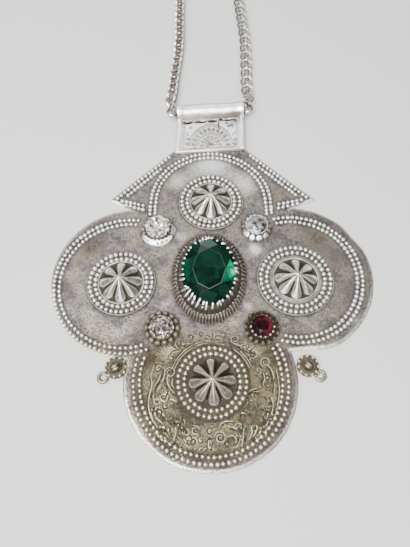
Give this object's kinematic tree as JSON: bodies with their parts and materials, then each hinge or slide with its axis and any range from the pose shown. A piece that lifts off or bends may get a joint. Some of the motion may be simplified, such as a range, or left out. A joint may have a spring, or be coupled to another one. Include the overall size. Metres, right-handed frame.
{
  "type": "pendant necklace",
  "caption": "Large flat hamsa-style silver pendant with beaded borders, ribbed domes, a green oval stone and small corner stones, on a cable chain threaded through a rolled bail.",
  "frame": {"origin": "on the flat back of the plate, under the centre of the large oval stone", "axes": "+Z out of the pendant's face, +Y from the stone towards the bail and chain, +X to the right seen from the front; it lies on its back at Z = 0"},
  "size_m": [0.1192, 0.2975, 0.0071],
  "materials": {
    "plate_silver": "hammered sheet silver, grey-lilac patina with brown tarnish",
    "bail_silver": "brighter worn silver, engraved panel",
    "boss_silver": "polished crests with dark patina between the beads and ribs",
    "setting_silver": "darkened silver with bright worn claws",
    "chain_silver": "drawn wire with dark patina inside the links",
    "green_glass": "dark bluish green faceted glass",
    "clear_glass": "colourless faceted glass over foil",
    "garnet_glass": "dark red faceted garnet"
  },
  "bodies": {
    "root": {"plate": "plate_silver", "bail": "bail_silver", "boss_top": "boss_silver", "boss_left": "boss_silver", "boss_right": "boss_silver", "boss_bottom": "boss_silver", "centre_setting": "setting_silver", "green_stone": "green_glass", "setting_upper_left": "setting_silver", "setting_upper_right": "setting_silver", "setting_lower_left": "setting_silver", "setting_lower_right": "setting_silver", "stone_upper_left": "clear_glass", "stone_upper_right": "clear_glass", "stone_lower_left": "clear_glass", "garnet": "garnet_glass", "drop_left": "boss_silver", "drop_right": "boss_silver", "chain": "chain_silver", "clasp": "chain_silver"}
  },
  "joints": []
}
